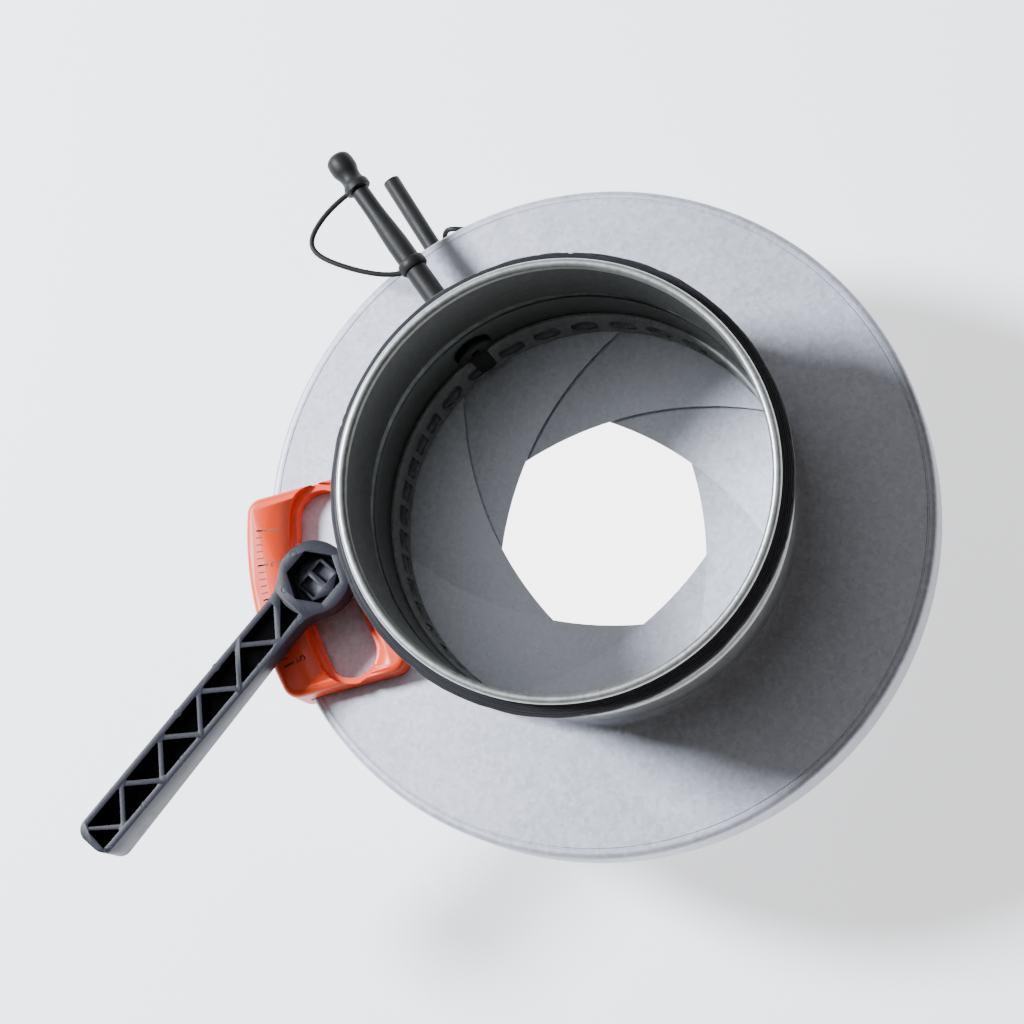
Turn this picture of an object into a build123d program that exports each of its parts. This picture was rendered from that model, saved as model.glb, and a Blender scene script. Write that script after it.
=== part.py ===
from build123d import *
import os
from math import asin, atan2, cos, degrees, hypot, radians, sin

# Iris volume control damper for a 100 mm round duct.
# Frame: origin on the duct axis at the rear spigot's rim, +Z along the duct to the front rim,
# the adjusting handle's centre line on -X. Millimetres.

# Duct connection and casing
spigot_outer_r = 49.5
sheet = 0.6
rear_spigot_length = 42.0
casing_depth = 18.0
front_spigot_length = 50.0
casing_r = 81.7
front_edge_r = 1.5
rear_edge_r = 5.0
neck_fillet_r = 3.0
neck_height = 4.0
front_wall_height = 12.8
rear_wall_height = 10.0
pan_clearance = 0.1
rim_roll_r = 1.1
bead_from_face = 24.0
bead_r = 1.8
bead_sink = 0.2

# Rubber duct seals
seal_gap = 0.2
seal_width = 8.0
seal_body_t = 1.6
lip_r = 53.6
lip_land = 1.5
lip_from_rim = 4.6
small_lip_r = 52.4

# Slotted measuring band
band_inner_r = 48.2
band_t = 0.6
band_bottom = 51.4
band_top = 67.5
band_slot_height = 8.0
band_slot_z = 57.6
oval_length = 6.8
oval_count = 16
rectangle_length = 4.5
rectangle_count = 25
band_change_az = 131.3

# Iris blades: each lies in its own plane through one point of the axis, all sloping the same way
blade_count = 7
blade_t = 0.35
blade_slope = 0.06
blade_point_z = 47.95
first_blade_az = 99.0
blade_edge_r = 83.5
edge_centre_r = 59.2
pivot_r = 75.0
pivot_az = -97.0
drive_pin_r_place = 60.0
drive_pin_az = -79.9
blade_outer_r = 78.6
blade_boss_r = 4.0
blade_end_az = 58.0
open_turn = 18.85
pin_r = 1.8
pin_clearance = 0.03
pin_head_r = 2.8
pin_head_t = 0.4
pin_collar_r = 2.2
axial_gap = 0.1

# Drive ring and its bearings
ring_inner_r = 52.0
ring_outer_r = 71.8
ring_t = 1.5
ring_bottom = 53.0
handle_open = 13.0
handle_closed = -8.0
blade_ratio = -1.45
slot_clearance = 0.15
guide_t = 1.0
guide_running = 0.1
guide_lip_r = 53.1
guide_lip_t = 0.8
ring_running = 0.2
retainer_r = 53.4
retainer_t = 0.8
pivot_ring_inner_r = 72.6
pivot_ring_outer_r = 80.0
pivot_ring_t = 1.5

# Drive arm from the ring to the handle
arm_az = 187.0
arm_width = 8.0
arm_inner_r = 59.5
arm_outer_r = 84.2
arm_t = 1.5
arm_rivet_r = 1.5
arm_rivet_head_r = 2.4
arm_rivet_head_t = 0.7
arm_rivet_places = (62.5, 68.5)
window_margin = 1.5

# Adjusting handle
handle_width = 50.4
handle_outer_r = 85.6
handle_inner_r = 55.2
handle_t = 6.8
handle_gap = 0.3
skirt_t = 3.5
skirt_bottom = 52.6
handle_corner_r = 4.0
handle_round = 1.8
clamp_r = 67.0
handle_slot_width = 12.6
handle_slot_half_angle = 15.0
ledge_width = 15.8
ledge_depth = 2.6
fit = 0.02

# Clamp: stud, washer, nut and lever
stud_r = 3.0
stud_flange_r = 5.2
stud_flange_t = 2.0
stud_top = 72.0
washer_r = 7.3
washer_t = 1.2
washer_lift = 0.2
lever_head_r = 8.9
lever_floor = 70.6
lever_floor_t = 1.2
lever_top = 77.4
washer_collar_r = 6.6
lever_clearance = 0.1
lever_length = 83.0
lever_width = 10.0
lever_wall = 1.5
lever_rib = 1.25
lever_web_t = 1.2
lever_az = 216.1
lever_level_part = 22.0
lever_end_bottom = 64.5
lever_bays = 10
socket_across_flats = 11.7
nut_across_flats = 9.2
nut_top = 74.0
nut_pocket = (3.0, 4.6)
nut_web = 1.4
stud_running = 0.05

# Measuring nipples
front_tap_az = 111.6
rear_tap_az = 108.5
tap_from_face = 12.8
grommet_r = 5.0
grommet_neck_r = 3.9
grommet_tongue_width = 4.6
tap_base_r = 2.8
tap_end_r = 2.25
tap_bore_r = 1.2
tap_taper_start = 80.0
tap_taper_end = 94.0
front_tap_end = 103.0
rear_tap_end = 114.0
cap_inner_end = 99.0
cap_outer_r = 2.95
cap_flange_r = 3.35
cap_end = 110.0
cap_running = 0.05
cap_strap_gap = 0.02
strap_r = 0.65
strap_ring_wall = 1.1
strap_ring_length = 2.6
front_strap_ring_at = 75.0
rear_strap_ring_at = 90.5

# Heights worked out from the lengths above
spigot_inner_r = spigot_outer_r - sheet
tap_az = {"front": front_tap_az, "rear": rear_tap_az}
rear_face = rear_spigot_length
front_face = rear_face + casing_depth
front_rim = front_face + front_spigot_length
front_inside = front_face - sheet
ring_top = ring_bottom + ring_t
ring_middle = ring_bottom + ring_t / 2
arm_top = ring_top + arm_t
rear_wall_r = casing_r - sheet - pan_clearance
pivot_ring_bottom = front_inside - pivot_ring_t
handle_bottom = front_face + handle_gap
handle_top = handle_bottom + handle_t
ledge_floor = handle_top - ledge_depth
washer_bottom = ledge_floor + washer_lift


def save(part, name):
    os.makedirs("parts", exist_ok=True)
    export_step(part, f"parts/{name}.step")


def spot(radius, azimuth, height=0.0):
    return Vector(radius * cos(radians(azimuth)), radius * sin(radians(azimuth)), height)


def box_profile(r_low, r_high, z_low, z_high):
    return Pos((r_low + r_high) / 2, (z_low + z_high) / 2) * Rectangle(r_high - r_low, z_high - z_low)


def turned(profile):
    return revolve(Plane.XZ * profile, Axis.Z)


def tube_between(r_inner, r_outer, z_low, z_high):
    return turned(box_profile(r_inner, r_outer, z_low, z_high))


def sector(r_low, r_high, z_low, z_high, az_low, az_high):
    face = Plane.XZ * box_profile(r_low, r_high, z_low, z_high)
    return Rot(0, 0, az_low) * revolve(face, Axis.Z, az_high - az_low)


def facing(radius, azimuth, height):
    """A plane on a radial line, its normal pointing away from the duct axis."""
    across = Vector(-sin(radians(azimuth)), cos(radians(azimuth)), 0)
    outward = Vector(cos(radians(azimuth)), sin(radians(azimuth)), 0)
    return Plane(spot(radius, azimuth, height), x_dir=across, z_dir=outward)


def along_radius(profile_pieces, azimuth, height):
    """Turns a profile of (distance from the duct axis, radius) boxes about a radial line."""
    profile = Sketch() + [Pos((a + b) / 2, r / 2) * Rectangle(b - a, r) for a, b, r in profile_pieces]
    body = revolve(profile, Axis.X)
    return Rot(0, 0, azimuth) * Pos(0, 0, height) * body


# ---- Casing pans and spigots ----

def neck_profile(face_z, side):
    """Quarter bend and short collar that a pan turns up into; side is +1 above, -1 below."""
    bend_r = spigot_outer_r + neck_fillet_r
    bend_z = face_z + side * neck_fillet_r
    end_z = face_z + side * neck_height
    bend = Circle(neck_fillet_r + sheet) - Circle(neck_fillet_r)
    reach = neck_fillet_r + sheet
    quarter = Pos(bend_r - reach / 2, bend_z - side * reach / 2) * Rectangle(reach, reach)
    collar = box_profile(spigot_inner_r, spigot_outer_r, min(bend_z, end_z), max(bend_z, end_z))
    return (Pos(bend_r, bend_z) * bend & quarter) + collar


def nearest_corner(profile, radius, height):
    return profile.vertices().sort_by_distance((radius, height, 0))[0]


def pan_profile(face_z, side, outer_r, height, edge_r):
    """Flat annulus with a rounded edge and a wall going the other way from the neck."""
    far_z = face_z - side * height
    inner_z = face_z - side * sheet
    start_r = spigot_outer_r + neck_fillet_r
    outer = box_profile(start_r, outer_r, min(face_z, far_z), max(face_z, far_z))
    inner = box_profile(start_r, outer_r - sheet, min(inner_z, far_z), max(inner_z, far_z))
    outer = fillet(nearest_corner(outer, outer_r, face_z), edge_r)
    inner = fillet(nearest_corner(inner, outer_r - sheet, inner_z), edge_r - sheet)
    return (outer - inner) + neck_profile(face_z, side)


def make_front_casing():
    profile = pan_profile(front_face, 1, casing_r, front_wall_height, front_edge_r)
    pan = turned(profile)
    arm_half = degrees(asin(arm_width / 2 / (casing_r - sheet)))
    first = arm_az + handle_closed - arm_half - window_margin
    last = arm_az + handle_open + arm_half + window_margin
    window = sector(casing_r - 3, casing_r + 1, ring_top - 0.4, arm_top + 0.8, first, last)
    return pan - window


def make_rear_casing():
    return turned(pan_profile(rear_face, -1, rear_wall_r, rear_wall_height, rear_edge_r))


def spigot(foot_z, rim_z, face_z, side):
    bead_z = face_z + side * bead_from_face
    wall = box_profile(spigot_inner_r, spigot_outer_r, min(foot_z, rim_z), max(foot_z, rim_z))
    bead_place = Pos(spigot_inner_r + bead_sink, bead_z)
    keep = box_profile(spigot_inner_r, spigot_outer_r + 3, bead_z - 3, bead_z + 3)
    profile = wall + (bead_place * Circle(bead_r) & keep) - bead_place * Circle(bead_r - sheet)
    profile += Pos(spigot_inner_r + rim_roll_r, rim_z - side * rim_roll_r) * Circle(rim_roll_r)
    body = turned(profile)
    tap_at = tap_az["front" if side > 0 else "rear"]
    hole = facing(spigot_inner_r - 3, tap_at, face_z + side * tap_from_face) * Cylinder(
        grommet_neck_r + 0.1, 8, align=(Align.CENTER, Align.CENTER, Align.MIN)
    )
    return body - hole


def make_seal(rim_z, side):
    """Rubber ring behind the rim: a body on the spigot, a high lip and a low lip."""
    r0 = spigot_outer_r + 0.03
    r1 = spigot_outer_r + seal_body_t
    start = rim_z - side * (2 * rim_roll_r + seal_gap)
    lip_top = rim_z - side * lip_from_rim
    lip_end = lip_top - side * lip_land
    end = start - side * seal_width
    points = [
        (r0, start),
        (r0 + 0.9, start),
        (lip_r, lip_top),
        (lip_r, lip_end),
        (r1 + 0.5, lip_end + side * 0.7),
        (r1, lip_end - side * 0.6),
        (small_lip_r, end + side * 0.9),
        (small_lip_r, end + side * 0.2),
        (r1, end),
        (r0, end),
    ]
    return turned(make_face(Polyline(points, close=True)))


def make_band():
    band = tube_between(band_inner_r, band_inner_r + band_t, band_bottom, band_top)
    cutters = []
    for i in range(oval_count):
        azimuth = band_change_az - 180 + (i + 0.5) * 180 / oval_count
        place = facing(band_inner_r - 2, azimuth, band_slot_z)
        cutters.append(extrude(place * SlotOverall(band_slot_height, oval_length, rotation=90), 5))
    for i in range(rectangle_count):
        azimuth = band_change_az + (i + 0.5) * 180 / rectangle_count
        place = facing(band_inner_r - 2, azimuth, band_slot_z)
        cutters.append(extrude(place * Rectangle(rectangle_length, band_slot_height), 5))
    return band - cutters


# ---- Iris blades ----

def blade_plane(k):
    azimuth = radians(first_blade_az + k * 360 / blade_count)
    clockwise = Vector(sin(azimuth), -cos(azimuth), 0)
    normal = Vector(-blade_slope * clockwise.X, -blade_slope * clockwise.Y, 1)
    return Plane((0, 0, blade_point_z), x_dir=(cos(azimuth), sin(azimuth), 0), z_dir=normal)


pivot_flat = spot(pivot_r, pivot_az)
drive_flat = spot(drive_pin_r_place, drive_pin_az)


def blade_outline():
    """Blade in its own plane, its edge's middle on +X, at the rest opening."""
    edge_centre = Vector(-edge_centre_r, 0, 0)
    axis_when_open = (Vector(0, 0, 0) - pivot_flat).rotate(Axis.Z, open_turn) + pivot_flat
    crescent = Pos(axis_when_open) * Circle(blade_outer_r) - Pos(edge_centre) * Circle(blade_edge_r)
    far = 3 * blade_outer_r
    wedge_points = [(0, 0), tuple(spot(far, pivot_az))[:2], tuple(spot(far, pivot_az / 3))[:2],
                    tuple(spot(far, blade_end_az))[:2]]
    crescent &= make_face(Polyline(wedge_points, close=True))
    blade = crescent + Pos(pivot_flat) * Circle(blade_boss_r)
    blade -= Pos(pivot_flat) * Circle(pin_r + pin_clearance)
    return blade - Pos(drive_flat) * Circle(pin_r + fit)


blade_flat = extrude(blade_outline(), blade_t / 2, both=True)


def in_blade(k, shape):
    return blade_plane(k).location * shape


def cylinder_from(centre, radius, low, high):
    return Pos(centre.X, centre.Y, low) * Cylinder(
        radius, high - low, align=(Align.CENTER, Align.CENTER, Align.MIN)
    )


def make_drive_pin(k):
    """Rivet through the blade, its shank standing up through the ring's cam slot."""
    height = ring_top + 0.4 - blade_plane(k).from_local_coords(drive_flat).Z
    shank = cylinder_from(drive_flat, pin_r, -blade_t / 2 - pin_head_t, height)
    foot = cylinder_from(drive_flat, pin_head_r, -blade_t / 2 - pin_head_t, -blade_t / 2)
    collar = cylinder_from(drive_flat, pin_collar_r, blade_t / 2, blade_t / 2 + pin_head_t)
    return in_blade(k, shank + foot + collar)


def make_pivot_pin(k):
    """Shouldered rivet hanging from the pivot ring, square to its blade."""
    under = -blade_t / 2 - axial_gap
    over = blade_t / 2 + axial_gap
    shank = cylinder_from(pivot_flat, pin_r, under - pin_head_t, 30)
    head = cylinder_from(pivot_flat, pin_head_r, under - pin_head_t, under)
    shoulder = cylinder_from(pivot_flat, pin_head_r, over, 30)
    below_plate = Pos(0, 0, pivot_ring_bottom - 20) * Box(400, 400, 40)
    below_face = Pos(0, 0, front_inside - 20) * Box(400, 400, 40)
    return (in_blade(k, head + shoulder) & below_plate) + (in_blade(k, shank) & below_face)


def make_pivot_ring():
    ring = tube_between(pivot_ring_inner_r, pivot_ring_outer_r, pivot_ring_bottom, front_inside)
    holes = [in_blade(k, cylinder_from(pivot_flat, pin_r + fit, 0, 30)) for k in range(blade_count)]
    return ring - holes


# ---- Drive ring, bearings and arm ----

def drive_pin_at(k, ring_turn):
    """Where the drive pin crosses the ring's mid height, seen from the ring, at a handle turn."""
    plane = blade_plane(k)
    pivot = plane.from_local_coords(pivot_flat)
    pin = plane.from_local_coords(drive_flat)
    moved = (pin - pivot).rotate(Axis((0, 0, 0), plane.z_dir), blade_ratio * ring_turn) + pivot
    crossing = moved + plane.z_dir * ((ring_middle - moved.Z) / plane.z_dir.Z)
    return crossing.rotate(Axis.Z, -ring_turn)


def cam_slot(k):
    ends = [drive_pin_at(k, turn) for turn in (handle_closed - 0.4, handle_open / 2 + handle_closed / 2,
                                               handle_open + 0.4)]
    path = ThreePointArc(*[(p.X, p.Y) for p in ends])
    slot = SlotArc(path, 2 * (pin_r + slot_clearance))
    return Pos(0, 0, ring_bottom - 1) * extrude(slot, ring_t + 2)


def arm_holes(radius):
    places = [spot(r, arm_az, ring_bottom) for r in arm_rivet_places]
    return [cylinder_from(p, radius, ring_bottom, arm_top) for p in places]


def make_drive_ring():
    ring = tube_between(ring_inner_r, ring_outer_r, ring_bottom, ring_top)
    ring -= [cam_slot(k) for k in range(blade_count)]
    return ring - arm_holes(arm_rivet_r + fit)


def make_drive_arm():
    length = arm_outer_r - arm_inner_r
    bar = Pos((arm_inner_r + arm_outer_r) / 2, 0) * RectangleRounded(length, arm_width, 2)
    arm = Rot(0, 0, arm_az) * Pos(0, 0, ring_top) * extrude(bar, arm_t)
    return arm - arm_holes(arm_rivet_r + fit)


def make_arm_rivets():
    rivets = []
    for radius in arm_rivet_places:
        place = spot(radius, arm_az)
        shank = cylinder_from(place, arm_rivet_r, ring_bottom, arm_top + arm_rivet_head_t)
        rivets.append(shank + cylinder_from(place, arm_rivet_head_r, arm_top, arm_top + arm_rivet_head_t))
    return Compound(children=rivets)


def make_ring_guide():
    outer = ring_inner_r - guide_running
    lip_top = ring_bottom - ring_running
    sleeve = tube_between(outer - guide_t, outer, lip_top - guide_lip_t, front_inside)
    return sleeve + tube_between(outer - guide_t, guide_lip_r, lip_top - guide_lip_t, lip_top)


def make_ring_retainer():
    low = ring_top + ring_running
    return tube_between(ring_inner_r - guide_running + fit, retainer_r, low, low + retainer_t)


# ---- Handle and clamp ----

def handle_sector():
    middle = (handle_inner_r + handle_outer_r) / 2
    strip = Pos(-middle, 0) * Rectangle(handle_outer_r - handle_inner_r + 20, handle_width)
    return strip & (Circle(handle_outer_r) - Circle(handle_inner_r))


def slot_face(width):
    a = radians(handle_slot_half_angle)
    ends = [(-clamp_r * cos(a), clamp_r * sin(a)), (-clamp_r, 0), (-clamp_r * cos(a), -clamp_r * sin(a))]
    return SlotArc(ThreePointArc(*ends), width)


def make_handle():
    plan = handle_sector()
    plan = fillet(plan.vertices(), handle_corner_r)
    plate = Pos(0, 0, handle_bottom) * extrude(plan, handle_t)
    skirt_plan = plan & (Circle(handle_outer_r) - Circle(handle_outer_r - skirt_t))
    skirt = Pos(0, 0, skirt_bottom) * extrude(skirt_plan, handle_bottom - skirt_bottom)
    body = plate + skirt
    top_edges = body.faces().sort_by(Axis.Z)[-1].outer_wire().edges()
    body = fillet(top_edges, handle_round)
    body -= Pos(0, 0, handle_bottom - 1) * extrude(slot_face(handle_slot_width), handle_t + 2)
    body -= Pos(0, 0, ledge_floor) * extrude(slot_face(ledge_width), ledge_depth + 1)
    gap = 0.05
    pocket_length = arm_outer_r + gap - (handle_outer_r - skirt_t - 1)
    pocket = Pos(arm_outer_r + gap - pocket_length / 2, 0, ring_top + arm_t / 2) * Box(
        pocket_length, arm_width + 2 * gap, arm_t + 2 * gap
    )
    return body - Rot(0, 0, arm_az) * pocket


clamp_place = Vector(-clamp_r, 0, 0)


def make_stud():
    stud = cylinder_from(clamp_place, stud_r, front_face, stud_top)
    flange = cylinder_from(clamp_place, stud_flange_r, front_face, front_face + stud_flange_t)
    return stud + flange


def make_washer():
    """Collared washer: its disc rides on the handle's ledge and its collar carries the lever."""
    disc = cylinder_from(clamp_place, washer_r, washer_bottom, washer_bottom + washer_t)
    disc += cylinder_from(clamp_place, washer_collar_r, washer_bottom, lever_floor - lever_clearance)
    return disc - cylinder_from(clamp_place, stud_r + 0.1, washer_bottom, lever_floor)


def hexagon(across_flats):
    return RegularPolygon(across_flats / 2, 6, major_radius=False, rotation=30)


def tail_side_view():
    """Tail seen from the side: level underneath near the head, deeper towards its end."""
    points = [(0, lever_floor), (lever_level_part, lever_floor), (lever_length, lever_end_bottom),
              (lever_length, lever_top), (0, lever_top)]
    return Plane.XZ * make_face(Polyline(points, close=True))


def lever_ribs(z_low, z_high):
    """Zigzag of ribs from one side wall to the other along the tail."""
    first = lever_head_r + 1.0
    bay = (lever_length - lever_wall - first) / lever_bays
    reach = lever_width / 2 - lever_wall / 2
    ribs = Part()
    for i in range(lever_bays):
        side = 1 if i % 2 == 0 else -1
        start = (first + i * bay, side * reach)
        end = (first + (i + 1) * bay, -side * reach)
        length = hypot(end[0] - start[0], end[1] - start[1])
        turn = degrees(atan2(end[1] - start[1], end[0] - start[0]))
        middle = ((start[0] + end[0]) / 2, (start[1] + end[1]) / 2)
        rib = Pos(middle[0], middle[1], (z_low + z_high) / 2) * Rot(0, 0, turn) * Box(
            length, lever_rib, z_high - z_low
        )
        ribs += rib
    return ribs


def make_lever():
    tail_plan = Pos(lever_length / 2, 0) * Rectangle(lever_length, lever_width)
    far_corners = tail_plan.vertices().sort_by(Axis.X)[-2:]
    tail_plan = fillet(far_corners, 2.4)
    inner_plan = Pos(lever_length / 2, 0) * Rectangle(lever_length - 2 * lever_wall, lever_width - 2 * lever_wall)
    body_depth = lever_top - lever_end_bottom
    tail = Pos(0, 0, lever_end_bottom) * extrude(tail_plan, body_depth)
    tail &= extrude(tail_side_view(), lever_width, both=True)
    head = cylinder_from(Vector(0, 0, 0), lever_head_r, lever_floor, lever_top)
    hollow = extrude(Pos(0, 0, lever_end_bottom) * inner_plan, body_depth + 1)
    side = Pos(0, 0, lever_web_t) * extrude(tail_side_view(), lever_width, both=True)
    hollow &= side + Pos(lever_length / 2, 0, lever_top) * Box(lever_length, lever_width, 4)
    ribs = lever_ribs(lever_end_bottom, lever_top - 0.4) & tail
    lever = (tail - hollow) + ribs + head
    lever -= cylinder_from(Vector(0, 0, 0), lever_head_r - 0.01, lever_top, lever_top + 3)
    socket_floor = lever_floor + lever_floor_t
    lever -= Pos(0, 0, socket_floor) * extrude(hexagon(socket_across_flats), lever_top - socket_floor + 1)
    lever -= cylinder_from(Vector(0, 0, 0), stud_r + stud_running, washer_bottom, lever_top)
    return Pos(clamp_place) * Rot(0, 0, lever_az) * lever


def make_nut():
    """Hexagonal insert with a web between two pockets, blind over the stud."""
    floor = lever_floor + lever_floor_t
    nut = Pos(0, 0, floor) * extrude(hexagon(nut_across_flats), nut_top - floor)
    nut -= cylinder_from(Vector(0, 0, 0), stud_r + stud_running, floor - 1, stud_top + 0.1)
    offset = nut_web / 2 + nut_pocket[0] / 2
    for side in (-1, 1):
        nut -= Pos(side * offset, 0, nut_top - 0.5) * Box(nut_pocket[0], nut_pocket[1], 2 * 0.9)
    return Pos(clamp_place) * Rot(0, 0, lever_az) * nut


# ---- Measuring nipples ----

tap_height = {"front": front_face + tap_from_face, "rear": rear_face - tap_from_face}


def beside_tap(end):
    """A nipple's own frame: X along it from the duct axis, Z along the duct."""
    return Rot(0, 0, tap_az[end]) * Pos(0, 0, tap_height[end])


def make_grommet(end):
    inner = spigot_inner_r - 1.6
    wall_in = spigot_inner_r - 0.35
    wall_out = spigot_outer_r + 0.35
    pieces = [(inner, wall_in, grommet_r), (wall_in, wall_out, grommet_neck_r),
              (wall_out, wall_out + 1.3, grommet_r)]
    height = tap_height[end]
    body = along_radius(pieces, tap_az[end], height)
    if end == "front":
        depth = tap_height[end] - (band_slot_z - band_slot_height / 4)
        tongue = facing(inner, tap_az[end], height - depth / 2) * Box(
            grommet_tongue_width, depth, 0.8, align=(Align.CENTER, Align.CENTER, Align.MIN)
        )
        body += tongue
    bore = along_radius([(inner - 1, wall_out + 2, tap_base_r + fit)], tap_az[end], height)
    return body - bore


def make_tap_tube(end, tip):
    inner = spigot_inner_r - 1.6
    profile = make_face(Polyline([
        (inner, tap_bore_r), (inner, tap_base_r), (tap_taper_start, tap_base_r), (tap_taper_end, tap_end_r),
        (tip, tap_end_r), (tip, tap_bore_r),
    ], close=True))
    return beside_tap(end) * revolve(profile, Axis.X)


def cap_shape(start):
    """Stopper cap: a flanged skirt and a domed end, along +X from start."""
    length = cap_end - cap_inner_end
    profile = box_profile(start, start + length - 2, 0, cap_outer_r)
    profile += box_profile(start, start + 1.6, 0, cap_flange_r)
    profile += box_profile(start + 4.6, start + 6.0, 0, cap_flange_r)
    dome = Pos(start + length - cap_flange_r, 0) * Circle(cap_flange_r)
    profile += dome & box_profile(start + length - 2 * cap_flange_r, start + length, 0, cap_flange_r)
    profile -= box_profile(start - 1, start + 5, 0, tap_end_r + cap_running)
    return revolve(profile, Axis.X)


def make_front_cap():
    return beside_tap("front") * cap_shape(cap_inner_end)


def tap_radius_at(distance):
    share = min(max((distance - tap_taper_start) / (tap_taper_end - tap_taper_start), 0), 1)
    return tap_base_r + share * (tap_end_r - tap_base_r)


def strap_ring(at):
    bore = tap_radius_at(at - strap_ring_length / 2) + 0.06
    ring = revolve(box_profile(at - strap_ring_length / 2, at + strap_ring_length / 2, bore,
                               bore + strap_ring_wall), Axis.X)
    return ring


def strap_run(points, radius):
    path = FilletPolyline(*points, radius=radius)
    start = Plane(points[0], z_dir=Vector(points[1]) - Vector(points[0]))
    return sweep(start * Circle(strap_r), path=path)


front_strap_end = cap_inner_end + 0.8
front_strap_points = [(75.0, 3.6, 0), (78.5, 8.0, 0), (85.0, 13.0, 0.4), (92.0, 15.6, 0.6),
                      (98.0, 12.6, 0.4), (front_strap_end, 8.0, 0),
                      (front_strap_end, cap_flange_r + cap_strap_gap, 0)]
rear_strap_points = [(90.5, -3.4, 0), (93.1, -5.6, 3.6), (93.1, -9.4, 5.6), (90.9, -12.0, 2.4),
                     (89.7, -12.6, -3.4), (89.1, -12.6, -8.4)]


def make_front_strap():
    strap = strap_run(front_strap_points, 2.0) + strap_ring(front_strap_ring_at)
    return beside_tap("front") * strap


def make_rear_strap():
    strap = strap_run(rear_strap_points, 1.8) + strap_ring(rear_strap_ring_at)
    strap -= rear_cap_local()
    return beside_tap("rear") * strap


def rear_cap_local():
    """The rear cap, mouth up, moulded to the end of its strap by its flange."""
    end = rear_strap_points[-1]
    return Pos(end[0] - cap_flange_r, end[1], end[2]) * Rot(0, 90, 0) * cap_shape(-1.0)


def make_rear_cap():
    return beside_tap("rear") * rear_cap_local()


save(make_front_casing(), "front_casing")
save(make_rear_casing(), "rear_casing")
save(spigot(front_face + neck_height, front_rim, front_face, 1), "front_spigot")
save(spigot(rear_face - neck_height, 0.0, rear_face, -1), "rear_spigot")
save(make_seal(front_rim, 1), "front_seal")
save(make_seal(0.0, -1), "rear_seal")
save(make_band(), "measuring_band")
for k in range(blade_count):
    save(in_blade(k, blade_flat), f"blade_{k + 1}")
    save(make_drive_pin(k), f"drive_pin_{k + 1}")
save(Compound(children=[make_pivot_pin(k) for k in range(blade_count)]), "pivot_pins")
save(make_pivot_ring(), "pivot_ring")
save(make_drive_ring(), "drive_ring")
save(make_drive_arm(), "drive_arm")
save(make_arm_rivets(), "arm_rivets")
save(make_ring_guide(), "ring_guide")
save(make_ring_retainer(), "ring_retainer")
save(make_handle(), "adjusting_handle")
save(make_stud(), "clamp_stud")
save(make_washer(), "clamp_washer")
save(make_nut(), "clamp_nut")
save(make_lever(), "clamp_lever")
for end, tip in (("front", front_tap_end), ("rear", rear_tap_end)):
    save(make_grommet(end), f"{end}_grommet")
    save(make_tap_tube(end, tip), f"{end}_tap_tube")
save(make_front_cap(), "front_tap_cap")
save(make_front_strap(), "front_cap_strap")
save(make_rear_cap(), "rear_tap_cap")
save(make_rear_strap(), "rear_cap_strap")
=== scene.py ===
import math

import bmesh
import bpy
from mathutils import Euler, Matrix, Vector, noise


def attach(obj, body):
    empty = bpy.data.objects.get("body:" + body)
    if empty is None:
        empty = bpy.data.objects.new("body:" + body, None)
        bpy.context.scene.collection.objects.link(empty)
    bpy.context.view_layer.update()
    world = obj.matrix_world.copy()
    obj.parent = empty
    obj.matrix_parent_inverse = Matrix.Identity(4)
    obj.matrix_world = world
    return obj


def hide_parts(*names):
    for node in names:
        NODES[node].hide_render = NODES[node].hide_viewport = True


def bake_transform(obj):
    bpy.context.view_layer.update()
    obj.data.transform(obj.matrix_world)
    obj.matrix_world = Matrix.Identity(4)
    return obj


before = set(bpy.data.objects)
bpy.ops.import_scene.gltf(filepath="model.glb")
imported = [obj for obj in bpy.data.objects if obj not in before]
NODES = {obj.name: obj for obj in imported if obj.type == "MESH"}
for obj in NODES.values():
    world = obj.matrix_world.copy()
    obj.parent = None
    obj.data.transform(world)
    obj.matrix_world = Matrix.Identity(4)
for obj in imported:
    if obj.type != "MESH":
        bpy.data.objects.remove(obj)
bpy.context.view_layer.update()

# Looks of the iris volume control damper. Sizes are millimetres along and around the duct axis, and MM
# turns them into the frame's metres. Each piece is shaped in place, so its object stays at the origin.

MM = 0.001
TAU = 2 * math.pi

# Heights and radii shared by several pieces
REAR_FACE = 42.0
FRONT_FACE = 60.0
FRONT_RIM = 110.0
SPIGOT_R = 49.5
SHEET = 0.6
BORE_R = SPIGOT_R - SHEET
CASING_R = 81.7
PAN_OVERLAP_GAP = 0.1
FRONT_WALL = 12.8
FRONT_EDGE_R = 1.5
REAR_WALL = 10.0
REAR_EDGE_R = 5.0
BEAD_FROM_FACE = 24.0
BEAD_HEIGHT = 1.4
BEAD_HALF = 2.6
RIM_ROLL_R = 1.1
NECK_FILLET = 3.0
NECK_HEIGHT = 4.0
TAP_AZ = {"front": math.radians(111.6), "rear": math.radians(108.5)}
TAP_FROM_FACE = 12.8
ROUND_STEPS = 288

BUMP_DEPTH = 0.2 * MM
MERGE_DISTANCE = 0.02 * MM


# ---- Shader maths ----

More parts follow.
